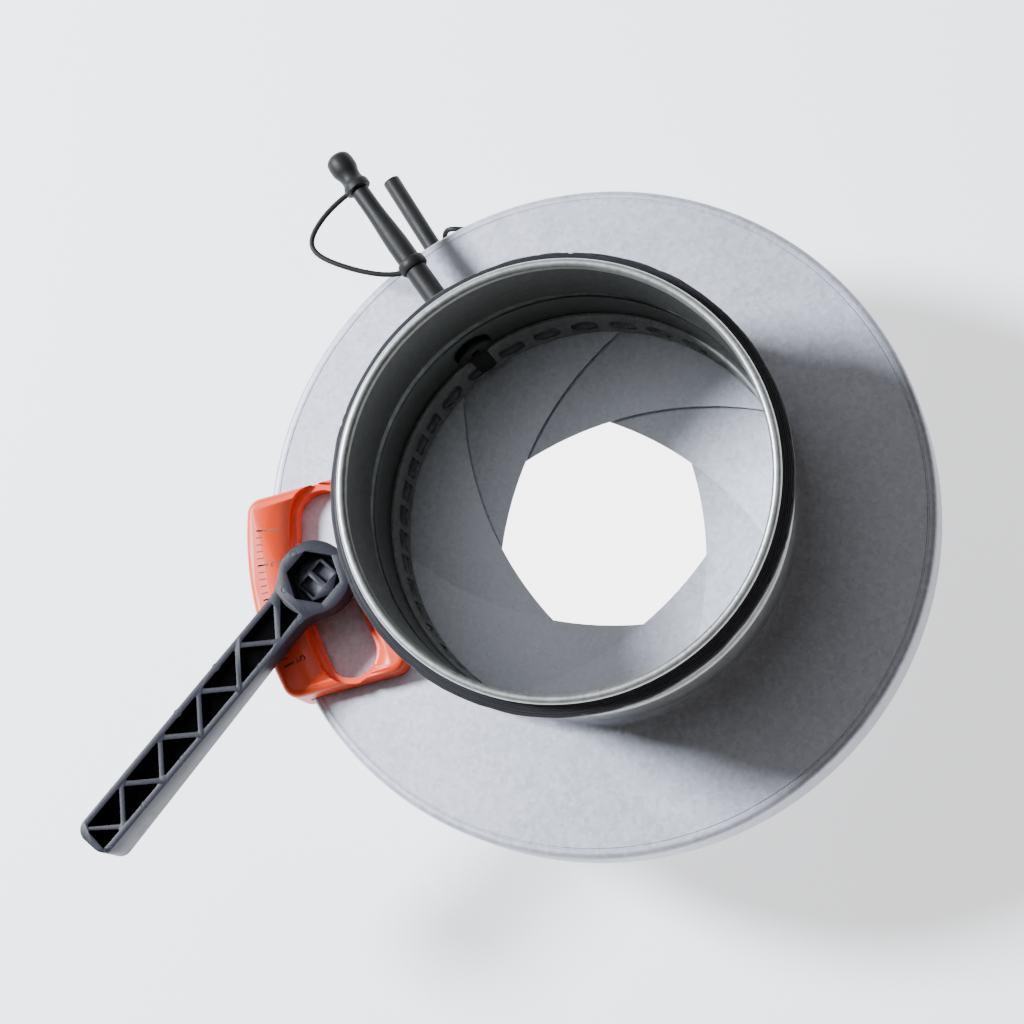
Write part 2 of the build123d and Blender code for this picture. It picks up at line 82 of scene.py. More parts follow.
class Value:
    """A socket's output that adds Math nodes when it is used in an expression."""

    def __init__(self, graph, socket):
        self.graph = graph
        self.socket = socket

    def _math(self, operation, first, second=None):
        sockets = {0: first} if second is None else {0: first, 1: second}
        return self.graph.add("ShaderNodeMath", {"operation": operation}, sockets)

    def __add__(self, other):
        return self._math("ADD", self, other)

    def __radd__(self, other):
        return self._math("ADD", other, self)

    def __sub__(self, other):
        return self._math("SUBTRACT", self, other)

    def __rsub__(self, other):
        return self._math("SUBTRACT", other, self)

    def __mul__(self, other):
        return self._math("MULTIPLY", self, other)

    def __rmul__(self, other):
        return self._math("MULTIPLY", other, self)

    def __truediv__(self, other):
        return self._math("DIVIDE", self, other)

    def over(self, limit):
        return self._math("GREATER_THAN", self, limit)

    def sine(self):
        return self._math("SINE", self)

    def power(self, exponent):
        return self._math("POWER", self, exponent)


class Graph:
    """The node tree of one material."""

    def __init__(self, name):
        self.material = bpy.data.materials.new(name)
        self.material.use_nodes = True
        self.tree = self.material.node_tree
        self.shader = self.tree.nodes["Principled BSDF"]

    def add(self, kind, settings=None, sockets=None, output=0):
        node = self.tree.nodes.new(kind)
        for key, value in (settings or {}).items():
            if key == "stops":
                self._set_stops(node.color_ramp, value)
            else:
                setattr(node, key, value)
        for key, value in (sockets or {}).items():
            self.join(node.inputs[key], value)
        return Value(self, node.outputs[output])

    def _set_stops(self, ramp, stops):
        while len(ramp.elements) < len(stops):
            ramp.elements.new(0.5)
        for element, (position, shade) in zip(ramp.elements, stops):
            element.position = position
            element.color = (shade, shade, shade, 1)

    def join(self, socket, value):
        if isinstance(value, Value):
            self.tree.links.new(value.socket, socket)
        else:
            socket.default_value = value

    def place(self):
        return self.add("ShaderNodeTexCoord", output="Object")

    def noise(self, scale, detail=3.0, roughness=0.5):
        sockets = {"Vector": self.place(), "Scale": scale, "Detail": detail, "Roughness": roughness}
        return self.add("ShaderNodeTexNoise", {}, sockets, "Fac")

    def cells(self, scale):
        return self.add("ShaderNodeTexVoronoi", {}, {"Vector": self.place(), "Scale": scale}, "Color")

    def grey(self, colour):
        return self.add("ShaderNodeRGBToBW", {}, {"Color": colour})

    def ramp(self, value, *stops):
        return self.add("ShaderNodeValToRGB", {"stops": stops}, {"Fac": value})

    def blend(self, amount, low, high):
        settings = {"data_type": "RGBA", "clamp_factor": True}
        return self.add("ShaderNodeMix", settings, {"Factor": amount, 6: low, 7: high}, 2)

    def bump(self, height, strength, distance):
        sockets = {"Height": height, "Strength": strength, "Distance": distance}
        return self.add("ShaderNodeBump", {}, sockets, "Normal")

    def surface(self, **sockets):
        for key, value in sockets.items():
            self.join(self.shader.inputs[key.replace("_", " ").title().replace("Ior", "IOR")], value)
        return self.material


def rgb(red, green, blue):
    return (red, green, blue, 1.0)


def coordinate(graph, axis):
    """One of the three distances from the origin: 0 for x, 1 for y, 2 for z."""
    return graph.add("ShaderNodeSeparateXYZ", {}, {0: graph.place()}, axis)


def axis_distance(graph):
    """Distance from the duct axis, for marks that run round it."""
    x = coordinate(graph, 0)
    y = coordinate(graph, 1)
    return (x * x + y * y).power(0.5)


def galvanised(name, light, dark, roughness, metal, drawn=0.0, painted_bore_shade=None):
    """Zinc coated sheet: fine spangle, cloudy patches and, on drawn walls, faint rings and a bore darkened
    with painted shade.
    """
    g = Graph(name)
    spangle = g.grey(g.cells(900))
    grain = g.noise(2600, 2)
    clouds = g.noise(28, 4, 0.6)
    mottle = g.noise(170, 3, 0.6)
    shade = spangle * 0.32 + grain * 0.26 + mottle * 0.30 + clouds * 0.40
    tone = g.ramp(shade, (0.38, 0.0), (0.86, 1.0))
    colour = g.blend(tone, dark, light)
    scuffs = g.ramp(g.noise(60, 5, 0.75), (0.60, 0.0), (0.74, 1.0))
    colour = g.blend(scuffs * 0.10, colour, rgb(0.30, 0.29, 0.28))
    # Painted shade: the inner wall of both spigots, below the front rim's roll, takes a near-black colour
    # that stands in for the shade inside the bore.
    if painted_bore_shade:
        inside = 1 - axis_distance(g).over((SPIGOT_R - 0.15) * MM)
        under_rim = 1 - coordinate(g, 2).over((FRONT_RIM - 2 * RIM_ROLL_R) * MM)
        colour = g.blend(inside * under_rim, colour, painted_bore_shade)
    height = spangle * 0.5 + grain * 0.5
    if drawn:
        height = height + (axis_distance(g) * 6000).sine() * drawn
    return g.surface(
        base_color=colour,
        metallic=metal,
        roughness=shade * 0.22 + (roughness - 0.12),
        normal=g.bump(height, 0.12, BUMP_DEPTH),
    )


def rubber(name, tone, rings=0.0):
    """Matte black rubber with a dusty bloom and, on the seals, fine moulded rings."""
    g = Graph(name)
    dust = g.ramp(g.noise(90, 5, 0.7), (0.46, 0.0), (0.80, 1.0))
    fine = g.noise(1800, 2)
    colour = g.blend(dust * 0.25, tone, rgb(0.045, 0.043, 0.046))
    height = fine * 0.6
    if rings:
        height = height + (axis_distance(g) * 11000).sine() * rings
    return g.surface(
        base_color=colour,
        specular_ior_level=0.22,
        roughness=dust * 0.16 + 0.50,
        normal=g.bump(height, 0.25, BUMP_DEPTH),
    )


def moulded(name, tone, worn, roughness, grain_scale, grain, shine=0.5):
    """Injection moulded plastic: fine spark-eroded grain, slight flow marks and paler rubbed places."""
    g = Graph(name)
    flow = g.noise(42, 3, 0.6)
    rubbed = g.ramp(g.noise(150, 5, 0.7), (0.55, 0.0), (0.78, 1.0))
    colour = g.blend(flow * 0.35 + rubbed * 0.25, tone, worn)
    height = g.noise(grain_scale, 2)
    return g.surface(
        base_color=colour,
        specular_ior_level=shine,
        roughness=flow * 0.10 + rubbed * 0.10 + (roughness - 0.08),
        normal=g.bump(height, grain, BUMP_DEPTH),
    )


def plated(name, tone):
    g = Graph(name)
    streaks = g.noise(350, 4, 0.6)
    colour = g.blend(streaks, tone, rgb(0.42, 0.41, 0.39))
    return g.surface(
        base_color=colour,
        metallic=0.9,
        roughness=streaks * 0.25 + 0.25,
        normal=g.bump(streaks, 0.08, BUMP_DEPTH),
    )


CASING_METAL = galvanised("galvanised_casing", rgb(0.57, 0.58, 0.65), rgb(0.37, 0.375, 0.42), 0.50, 0.40)
# The spigot's near-black inner colour is painted shade in the bore, not the zinc's own tone.
SPIGOT_METAL = galvanised(
    "galvanised_spigot", rgb(0.46, 0.47, 0.46), rgb(0.28, 0.29, 0.28), 0.36, 0.75,
    drawn=0.25, painted_bore_shade=rgb(0.045, 0.052, 0.047),
)
BLADE_METAL = galvanised("galvanised_blade", rgb(0.74, 0.77, 0.84), rgb(0.52, 0.54, 0.60), 0.42, 0.45)
BAND_METAL = galvanised("galvanised_band", rgb(0.36, 0.37, 0.36), rgb(0.22, 0.23, 0.22), 0.45, 0.70)
SEAL_RUBBER = rubber("seal_rubber", rgb(0.013, 0.012, 0.016), 0.5)
PLAIN_RUBBER = rubber("nipple_rubber", rgb(0.010, 0.010, 0.009))
ORANGE = moulded(
    "orange_plastic", rgb(0.80, 0.052, 0.006), rgb(0.74, 0.075, 0.014), 0.42, 2400, 0.05, shine=0.40,
)
BLACK_NYLON = moulded(
    "black_nylon", rgb(0.008, 0.008, 0.014), rgb(0.022, 0.022, 0.034), 0.50, 1500, 0.16, shine=0.24,
)
NATURAL_PLASTIC = moulded("bearing_plastic", rgb(0.70, 0.68, 0.62), rgb(0.60, 0.58, 0.52), 0.45, 1500, 0.08)
ZINC = plated("zinc_plate", rgb(0.66, 0.65, 0.60))
INK = moulded("scale_ink", rgb(0.040, 0.015, 0.012), rgb(0.060, 0.022, 0.016), 0.55, 1500, 0.05)


# ---- Mesh helpers ----

def finish_mesh(bm, name, material, sharp=30):
    bmesh.ops.recalc_face_normals(bm, faces=bm.faces)
    mesh = bpy.data.meshes.new(name)
    bm.to_mesh(mesh)
    bm.free()
    return dressed(mesh, name, material, sharp)


def dressed(mesh, name, material, sharp=30):
    mesh.materials.clear()
    mesh.materials.append(material)
    for polygon in mesh.polygons:
        polygon.use_smooth = True
        polygon.material_index = 0
    mesh.set_sharp_from_angle(angle=math.radians(sharp))
    piece = bpy.data.objects.new(name, mesh)
    bpy.context.scene.collection.objects.link(piece)
    return piece


def around(count):
    """Even angles round a full turn."""
    return [TAU * i / count for i in range(count)]


def skinned(bm, rings, wrapped=False):
    """Walls from each ring of points to the next; a stack that isn't wrapped round gets both its ends."""
    following = rings[1:] + rings[:1] if wrapped else rings[1:]
    for near, far in zip(rings, following):
        for j in range(len(near)):
            k = (j + 1) % len(near)
            bm.faces.new((near[j], far[j], far[k], near[k]))
    if not wrapped:
        bm.faces.new(rings[0])
        bm.faces.new(rings[-1])


def show(piece, body, slot, *replaced):
    """Puts a finished piece on its body, in place of the solids that it stands for."""
    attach(piece, body)
    if replaced:
        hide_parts(*replaced)
    return piece


def arc(centre, radius, first, last, steps):
    """Points on an arc from one angle to the other, in degrees."""
    points = []
    for i in range(steps + 1):
        angle = math.radians(first + (last - first) * i / steps)
        points.append((centre[0] + radius * math.cos(angle), centre[1] + radius * math.sin(angle)))
    return points


def mirrored(profile, height):
    """The same profile upside down about the middle of a span."""
    return [(r, height - z) for r, z in profile]


def lathe(name, profile, material, steps=ROUND_STEPS, wobble=None, sharp=30):
    """Closed profile of (radius, height) turned about the duct axis."""
    bm = bmesh.new()
    rings = []
    for angle in around(steps):
        ring = []
        for r, z in profile:
            radius = r + (wobble(angle, r, z) if wobble else 0.0)
            point = Vector((radius * math.cos(angle), radius * math.sin(angle), z)) * MM
            ring.append(bm.verts.new(point))
        rings.append(ring)
    skinned(bm, rings, wrapped=True)
    return finish_mesh(bm, name, material, sharp)


def radial_place(end):
    """Turns a shape made about +X into one along that end's nipple."""
    return Matrix.Translation((0, 0, TAP_HEIGHTS[end] * MM)) @ Matrix.Rotation(TAP_AZ[end], 4, "Z")


def spindle(bm, profile, place, steps=48):
    """Closed profile of (distance along, radius) turned about +X, then placed."""
    rings = []
    for angle in around(steps):
        c, s = math.cos(angle), math.sin(angle)
        rings.append([bm.verts.new(place @ (Vector((x, r * c, r * s)) * MM)) for x, r in profile])
    skinned(bm, rings, wrapped=True)


def evaluated_mesh(piece, name):
    """The plain mesh that a piece's modifiers give; the piece itself is removed."""
    graph = bpy.context.evaluated_depsgraph_get()
    mesh = bpy.data.meshes.new_from_object(piece.evaluated_get(graph))
    bpy.data.objects.remove(piece)
    mesh.name = name
    return mesh


def cut(piece, cutter, material, sharp=30):
    """Takes one closed shape out of another."""
    name = piece.name
    hole = piece.modifiers.new("cut", "BOOLEAN")
    hole.object = cutter
    hole.solver = "EXACT"
    bpy.context.view_layer.update()
    mesh = evaluated_mesh(piece, name)
    bpy.data.objects.remove(cutter)
    return dressed(mesh, name, material, sharp)


def whole_faced(node, name, material, sharp=40):
    """A copy of a solid's mesh with its flat faces made whole."""
    bm = bmesh.new()
    bm.from_mesh(NODES[node].data)
    bmesh.ops.remove_doubles(bm, verts=bm.verts, dist=0.002 * MM)
    bmesh.ops.dissolve_limit(bm, angle_limit=math.radians(1.5), verts=bm.verts, edges=bm.edges)
    mesh = bpy.data.meshes.new(name)
    bm.to_mesh(mesh)
    bm.free()
    return dressed(mesh, name, material, sharp)


def bevelled(piece, width, material, sharp=40):
    """The same piece with its edges broken."""
    name = piece.name
    bevel = piece.modifiers.new("broken_edges", "BEVEL")
    bevel.width = width * MM
    bevel.segments = 2
    bevel.limit_method = "ANGLE"
    bevel.angle_limit = math.radians(35)
    bpy.context.view_layer.update()
    return dressed(evaluated_mesh(piece, name), name, material, sharp)


def recoat(node, material):
    """Gives a solid that is already the right shape its finish."""
    mesh = NODES[node].data
    mesh.materials.clear()
    mesh.materials.append(material)


# ---- Geometry Nodes ----

class Tree:
    """A Geometry Nodes tree that ends in Realize Instances and Set Material."""

    def __init__(self, name):
        self.tree = bpy.data.node_groups.new(name, "GeometryNodeTree")
        self.tree.interface.new_socket("Geometry", in_out="OUTPUT", socket_type="NodeSocketGeometry")
        self.inputs = {}

    def size(self, name, kind, value):
        socket = self.tree.interface.new_socket(name, in_out="INPUT", socket_type=kind)
        if value is not None:
            socket.default_value = value
        self.inputs[name] = socket.identifier

    def start(self):
        self.group_in = self.tree.nodes.new("NodeGroupInput")
        return self

    def given(self, name):
        return self.group_in.outputs[name]

    def node(self, kind, settings=None, sockets=None):
        node = self.tree.nodes.new(kind)
        for key, value in (settings or {}).items():
            setattr(node, key, value)
        for key, value in (sockets or {}).items():
            if isinstance(value, bpy.types.NodeSocket):
                self.tree.links.new(value, node.inputs[key])
            else:
                node.inputs[key].default_value = value
        return node

    def end(self, geometry, material):
        realized = self.node("GeometryNodeRealizeInstances", {}, {0: geometry})
        sockets = {0: realized.outputs[0], "Distance": MERGE_DISTANCE}
        merged = self.node("GeometryNodeMergeByDistance", {}, sockets)
        coated = self.node("GeometryNodeSetMaterial", {}, {0: merged.outputs[0], "Material": material})
        out = self.tree.nodes.new("NodeGroupOutput")
        self.tree.links.new(coated.outputs[0], out.inputs[0])

    def run(self, name, values):
        holder = bpy.data.objects.new(name, bpy.data.meshes.new(name))
        bpy.context.scene.collection.objects.link(holder)
        modifier = holder.modifiers.new("repeat", "NODES")
        modifier.node_group = self.tree
        for key, value in values.items():
            modifier[self.inputs[key]] = value
        bpy.context.view_layer.update()
        return evaluated_mesh(holder, name)


def ring_tree(material):
    """Copies one shape round the duct axis: a count, a first angle and the angle between copies."""
    t = Tree("round_the_duct")
    t.size("Shape", "NodeSocketObject", None)
    t.size("Count", "NodeSocketInt", 7)
    t.size("First", "NodeSocketFloat", 0.0)
    t.size("Step", "NodeSocketFloat", 0.1)
    t.start()
    shape = t.node("GeometryNodeObjectInfo", {}, {"Object": t.given("Shape")})
    line = t.node("GeometryNodeMeshLine", {}, {"Count": t.given("Count"), "Offset": (0, 0, 0)})
    index = t.node("GeometryNodeInputIndex")
    product = t.node("ShaderNodeMath", {"operation": "MULTIPLY"}, {0: index.outputs[0], 1: t.given("Step")})
    total = t.node("ShaderNodeMath", {"operation": "ADD"}, {0: product.outputs[0], 1: t.given("First")})
    turn = t.node("ShaderNodeCombineXYZ", {}, {"Z": total.outputs[0]})
    copies = t.node("GeometryNodeInstanceOnPoints", {}, {
        "Points": line.outputs[0], "Instance": shape.outputs["Geometry"], "Rotation": turn.outputs[0],
    })
    t.end(copies.outputs[0], material)
    return t


def round_copies(name, shape, material, count, first, step):
    tree = ring_tree(material)
    mesh = tree.run(name, {"Shape": shape, "Count": count, "First": first, "Step": step})
    bpy.data.objects.remove(shape)
    return mesh


def joined(meshes, name, material, sharp=30, merge=MERGE_DISTANCE):
    """Several meshes as one piece, with shared borders merged unless merge is 0."""
    bm = bmesh.new()
    for mesh in meshes:
        bm.from_mesh(mesh)
    if merge:
        bmesh.ops.remove_doubles(bm, verts=bm.verts, dist=merge)
    return finish_mesh(bm, name, material, sharp)


# ---- Casing and spigots ----

def pan_profile(radius, wall, edge_r, outer_steps, inner_steps, groove=()):
    """A pan with its face at height 0: up its wall, over the edge and face, up its neck and back inside."""
    bend = (SPIGOT_R + NECK_FILLET, NECK_FILLET)
    edge = (radius - edge_r, -edge_r)
    outside = [(radius, -wall)] + arc(edge, edge_r, 0, 90, outer_steps)
    outside += [(edge[0] - inward, -depth) for inward, depth in groove]
    outside += arc(bend, NECK_FILLET, 270, 180, 10) + [(SPIGOT_R, NECK_HEIGHT)]
    inside = [(BORE_R, NECK_HEIGHT)] + arc(bend, NECK_FILLET + SHEET, 180, 270, 10)
    inside += arc(edge, edge_r - SHEET, 90, 0, inner_steps) + [(radius - SHEET, -wall)]
    return outside + inside


def make_window():
    """The slot in the casing's wall that the handle's arm comes out of, as a curved block."""
    first, last = 174.7, 204.3
    low, high = 54.1, 56.8
    inner, outer = CASING_R - 3, CASING_R + 2
    steps = 12
    bm = bmesh.new()
    rings = []
    for i in range(steps + 1):
        angle = math.radians(first + (last - first) * i / steps)
        c, s = math.cos(angle), math.sin(angle)
        corners = ((inner, low), (outer, low), (outer, high), (inner, high))
        rings.append([bm.verts.new(Vector((r * c, r * s, z)) * MM) for r, z in corners])
    skinned(bm, rings)
    return finish_mesh(bm, "window", CASING_METAL)


def make_front_casing():
    pressed_groove = [(0.5, 0.0), (0.68, 0.16), (0.92, 0.16), (1.1, 0.0)]
    shape = pan_profile(CASING_R, FRONT_WALL, FRONT_EDGE_R, 10, 8, pressed_groove)
    profile = [(r, FRONT_FACE + z) for r, z in shape]
    pan = lathe("front_casing_pan", profile, CASING_METAL)
    show(cut(pan, make_window(), CASING_METAL), "casing", "galvanised_sheet", "front_casing")


def make_rear_casing():
    """The rear pan faces the other way and its wall sits just inside the front pan's."""
    radius = CASING_R - SHEET - PAN_OVERLAP_GAP
    profile = [(r, REAR_FACE - z) for r, z in pan_profile(radius, REAR_WALL, REAR_EDGE_R, 16, 12)]
    pan = lathe("rear_casing_pan", profile, CASING_METAL)
    show(pan, "casing", "galvanised_sheet", "rear_casing")


def bead_wall(radius, foot, bead, top, steps=14):
    """A wall with a smooth outward stop bead."""
    points = [(radius, foot)]
    for i in range(steps + 1):
        offset = BEAD_HALF * (2 * i / steps - 1)
        swell = BEAD_HEIGHT * 0.5 * (1 + math.cos(math.pi * offset / BEAD_HALF))
        points.append((radius + swell, bead + offset))
    points.append((radius, top))
    return points


def spigot_profile(face, rim):
    roll = (BORE_R + RIM_ROLL_R, rim - RIM_ROLL_R)
    foot = face + NECK_HEIGHT
    bead = face + BEAD_FROM_FACE
    inside = bead_wall(BORE_R, foot, bead, rim - RIM_ROLL_R - 4.0)
    inside += [(BORE_R, rim - RIM_ROLL_R - 0.6)]
    lip = arc(roll, RIM_ROLL_R, 180, -117, 26)
    outside = bead_wall(SPIGOT_R, foot, bead, rim - RIM_ROLL_R - 3.0)
    return inside + lip + outside[::-1]


def make_spigots():
    front = spigot_profile(FRONT_FACE, FRONT_RIM)
    rear = mirrored(spigot_profile(0.0, REAR_FACE), REAR_FACE)
    for end, profile in (("front", front), ("rear", rear)):
        tube = lathe(f"{end}_spigot_tube", profile, SPIGOT_METAL, sharp=40)
        show(tube, "casing", "galvanised_sheet", f"{end}_spigot")


def seal_profile(rim):
    """Rubber ring with a high ribbed lip, a valley and a low lip, below the rim."""
    inner = SPIGOT_R + 0.03
    start = rim - 2 * RIM_ROLL_R - 0.2
    lip_r, lip_top = 53.6, rim - 4.6
    lip_end = lip_top - 1.5
    end = start - 8.0
    points = [(inner, start), (inner + 0.7, start + 0.02), (inner + 1.0, start - 0.12)]
    ribs = 7
    for i in range(ribs * 4 + 1):
        share = i / (ribs * 4)
        r = inner + 1.0 + (lip_r - 0.15 - inner - 1.0) * share
        z = start - 0.12 + (lip_top - start + 0.12) * share
        lift = 0.09 * max(0.0, math.sin(TAU * ribs * share))
        points.append((r + lift * 0.6, z + lift))
    points += [(lip_r, lip_top - 0.15), (lip_r, lip_end + 0.15), (lip_r - 0.2, lip_end)]
    points += [(SPIGOT_R + 2.1, lip_end + 0.7), (SPIGOT_R + 1.7, lip_end + 0.3)]
    points += [(SPIGOT_R + 1.6, lip_end - 0.6)]
    points += [(52.2, end + 1.0), (52.4, end + 0.8), (52.4, end + 0.3), (52.2, end + 0.15)]
    points += [(SPIGOT_R + 1.6, end), (inner, end)]
    return points


def seal_wobble(angle, radius, height):
    """The lip's edge is slightly uneven, more so the further out it stands."""
    reach = max(0.0, (radius - SPIGOT_R - 1.0) / 3.1)
    around = Vector((math.cos(angle) * 9, math.sin(angle) * 9, 0.3 * height))
    coarse = noise.noise(around) * 0.20
    nicks = max(0.0, noise.noise(around * 5) - 0.42) * -0.9
    return reach * (coarse + nicks - 0.12)


def make_seals():
    profile = seal_profile(FRONT_RIM)
    for end, shape in (("front", profile), ("rear", mirrored(profile, FRONT_RIM))):
        ring = lathe(f"{end}_seal_ring", shape, SEAL_RUBBER, 360, seal_wobble, 50)
        show(ring, "casing", "black_rubber", f"{end}_seal")


# ---- Slotted band ----

BAND_IN, BAND_OUT = 48.2, 48.8
BAND_LOW, BAND_HIGH = 51.4, 67.5
SLOT_Z, SLOT_HEIGHT = 57.6, 8.0


def hole_outline(width, height, corner, count):
    """Rounded rectangle as points at even angles about its middle."""
    points = []
    half_w, half_h = width / 2, height / 2
    for angle in around(count):
        x, y = math.cos(angle), math.sin(angle)
        low, high = 0.0, half_w + half_h
        for _ in range(30):
            reach = (low + high) / 2
            over_x = max(abs(x * reach) - (half_w - corner), 0.0)
            over_y = max(abs(y * reach) - (half_h - corner), 0.0)
            outside = math.hypot(over_x, over_y) > corner
            low, high = (low, reach) if outside else (reach, high)
        points.append((x * low, y * low))
    return points


def band_cell(name, pitch, width, height, corner, count=32):
    """One stretch of the band with its slot, centred on azimuth 0."""
    bm = bmesh.new()
    hole = hole_outline(width, height, corner, count)
    arc_half = pitch / 2
    sides = 4

    def border(i):
        angle = TAU * i / count
        x, y = math.cos(angle), math.sin(angle)
        half_w = arc_half * BAND_IN
        low_reach, high_reach = SLOT_Z - BAND_LOW, BAND_HIGH - SLOT_Z
        half_h = high_reach if y > 0 else low_reach
        scale = min(half_w / abs(x) if abs(x) > 1e-9 else 1e9, half_h / abs(y) if abs(y) > 1e-9 else 1e9)
        return (x * scale, y * scale)

    corners = [(sx * arc_half * BAND_IN, (BAND_HIGH if sz > 0 else BAND_LOW) - SLOT_Z)
               for sx, sz in ((1, 1), (-1, 1), (-1, -1), (1, -1))]
    rim = [border(i) for i in range(count)]
    for corner_point in corners:
        nearest = min(range(count), key=lambda i: math.dist(rim[i], corner_point))
        rim[nearest] = corner_point

    def place(radius, point):
        angle = point[0] / BAND_IN
        c, s = math.cos(angle), math.sin(angle)
        return bm.verts.new(Vector((radius * c, radius * s, SLOT_Z + point[1])) * MM)

    loops = {}
    for radius in (BAND_IN, BAND_OUT):
        rows = [[place(radius, (a[0] + (b[0] - a[0]) * s / sides, a[1] + (b[1] - a[1]) * s / sides))
                 for a, b in zip(hole, rim)] for s in range(sides + 1)]
        loops[radius] = rows
        for near, far in zip(rows, rows[1:]):
            for i in range(count):
                j = (i + 1) % count
                bm.faces.new((near[i], near[j], far[j], far[i]))
    inner, outer = loops[BAND_IN], loops[BAND_OUT]
    for i in range(count):
        j = (i + 1) % count
        bm.faces.new((inner[0][i], inner[0][j], outer[0][j], outer[0][i]))
        top_or_bottom = abs(rim[i][1] - rim[j][1]) < 1e-6 and (
            abs(rim[i][1] + SLOT_Z - BAND_HIGH) < 1e-6 or abs(rim[i][1] + SLOT_Z - BAND_LOW) < 1e-6
        )
        if top_or_bottom:
            bm.faces.new((inner[-1][i], inner[-1][j], outer[-1][j], outer[-1][i]))
    return finish_mesh(bm, name, BAND_METAL)


def make_band():
    ovals, rectangles = 16, 25
    change = math.radians(131.3)
    oval_pitch, rectangle_pitch = math.pi / ovals, math.pi / rectangles
    oval_cell = band_cell("oval_cell", oval_pitch, 6.8, SLOT_HEIGHT, 3.3)
    rectangle_cell = band_cell("rectangle_cell", rectangle_pitch, 4.5, SLOT_HEIGHT, 0.5)
    parts = [
        round_copies("ovals", oval_cell, BAND_METAL, ovals, change - math.pi + oval_pitch / 2, oval_pitch),
        round_copies("rectangles", rectangle_cell, BAND_METAL, rectangles,
                     change + rectangle_pitch / 2, rectangle_pitch),
    ]
    show(joined(parts, "slotted_band", BAND_METAL, 35), "casing", "galvanised_sheet", "measuring_band")


# ---- Measuring nipples ----

TAP_BASE_R, TAP_END_R, TAP_BORE_R = 2.8, 2.25, 1.2
TAPER_START, TAPER_END = 80.0, 94.0
TAP_HEIGHTS = {"front": FRONT_FACE + TAP_FROM_FACE, "rear": REAR_FACE - TAP_FROM_FACE}
TAP_TIPS = {"front": 103.0, "rear": 114.0}
CAP_START, CAP_LENGTH = 99.0, 11.0
STRAP_R = 0.65


def tube_profile(tip):
    """Rubber tube: straight from its root, drawn in towards a slightly rounded end."""
    start = 47.3
    points = [(start, TAP_BORE_R), (start, TAP_BASE_R), (TAPER_START, TAP_BASE_R)]
    for i in range(1, 9):
        share = i / 8
        ease = share * share * (3 - 2 * share)
        x = TAPER_START + (TAPER_END - TAPER_START) * share
        points.append((x, TAP_BASE_R + (TAP_END_R - TAP_BASE_R) * ease))
    points += [(tip - 0.3, TAP_END_R), (tip - 0.08, TAP_END_R - 0.1), (tip, TAP_END_R - 0.3)]
    points += [(tip, TAP_BORE_R + 0.15), (tip - 0.2, TAP_BORE_R)]
    return points


def cap_profile(start):
    """Stopper cap: a thick flange, a waist and a flattened dome, with a blind bore."""
    end = start + CAP_LENGTH
    points = [(start, 2.3), (start, 3.0), (start + 0.25, 3.3), (start + 1.5, 3.35), (start + 2.0, 3.1)]
    points += [(start + 2.5, 2.75), (start + 3.6, 2.6), (start + 4.8, 2.75), (start + 5.6, 3.05)]
    points += [(start + 6.4, 3.3), (start + 8.2, 3.35)]
    points += arc((end - 2.4, 1.0), 2.35, 68, 6, 8)
    points += [(end, 0.9), (end, 0.02), (start + 5.0, 0.02), (start + 5.0, 2.3)]
    return points


def grommet_profile():
    inner, outer = BORE_R - 1.6, SPIGOT_R + 1.65
    points = [(inner, 2.85), (inner, 4.5), (inner + 0.2, 4.85), (inner + 0.6, 5.0), (inner + 1.25, 5.0)]
    points += [(inner + 1.25, 3.9), (outer - 1.3, 3.9), (outer - 1.3, 5.0), (outer - 0.5, 5.0)]
    points += [(outer - 0.15, 4.8), (outer, 4.4), (outer, 2.85)]
    return points


def smooth_line(points):
    """Points along the smooth curve that follows a few chosen ones."""
    curve = bpy.data.curves.new("route", "CURVE")
    curve.dimensions = "3D"
    spline = curve.splines.new("NURBS")
    spline.points.add(len(points) - 1)
    for knot, point in zip(spline.points, points):
        knot.co = (*point, 1)
    spline.order_u = 4
    spline.use_endpoint_u = True
    spline.resolution_u = 16
    holder = bpy.data.objects.new("route", curve)
    bpy.context.scene.collection.objects.link(holder)
    bpy.context.view_layer.update()
    mesh = evaluated_mesh(holder, "route")
    line = [v.co.copy() for v in mesh.vertices]
    bpy.data.meshes.remove(mesh)
    return line


def strap_body(bm, line, radius, place, sides=14):
    """Round strap along a line of points, its ends closed."""
    rings = []
    up = Vector((0, 0, 1))
    for i, point in enumerate(line):
        before, after = line[max(i - 1, 0)], line[min(i + 1, len(line) - 1)]
        forward = (after - before).normalized()
        side = forward.cross(up)
        if side.length < 1e-4:
            side = Vector((0, 1, 0))
        side.normalize()
        top = side.cross(forward).normalized()
        ring = []
        for angle in around(sides):
            offset = (side * math.cos(angle) + top * math.sin(angle)) * radius
            ring.append(bm.verts.new(place @ ((point + offset) * MM)))
        rings.append(ring)
    skinned(bm, rings)


def strap_piece(name, end, points, ring_at, bore):
    bm = bmesh.new()
    place = radial_place(end)
    strap_body(bm, smooth_line(points), STRAP_R, place)
    half = 1.3
    ring = [(ring_at - half, bore), (ring_at - half, bore + 0.4), (ring_at - half + 0.4, bore + 0.7),
            (ring_at + half - 0.4, bore + 0.7), (ring_at + half, bore + 0.4), (ring_at + half, bore)]
    spindle(bm, ring, place)
    return finish_mesh(bm, name, PLAIN_RUBBER, 45)


FRONT_STRAP = [(75.0, 3.4, 0), (76.6, 6.4, 0), (80.5, 10.4, 0.3), (85.5, 14.2, 0.5), (91.0, 17.6, 0.6),
               (95.5, 17.8, 0.5), (98.6, 12.4, 0.2), (99.8, 7.0, 0), (99.9, 3.0, 0)]
REAR_STRAP = [(90.5, -3.0, 0), (92.0, -4.0, 2.6), (92.8, -5.6, 4.6), (90.6, -8.2, 5.2), (88.8, -11.2, 3.4),
              (88.9, -12.6, -1.0), (89.1, -12.6, -8.4)]


def rear_cap_place():
    end = REAR_STRAP[-1]
    spot = Matrix.Translation(Vector((end[0] - 3.35, end[1], end[2])) * MM)
    return radial_place("rear") @ spot @ Matrix.Rotation(math.pi / 2, 4, "Y")


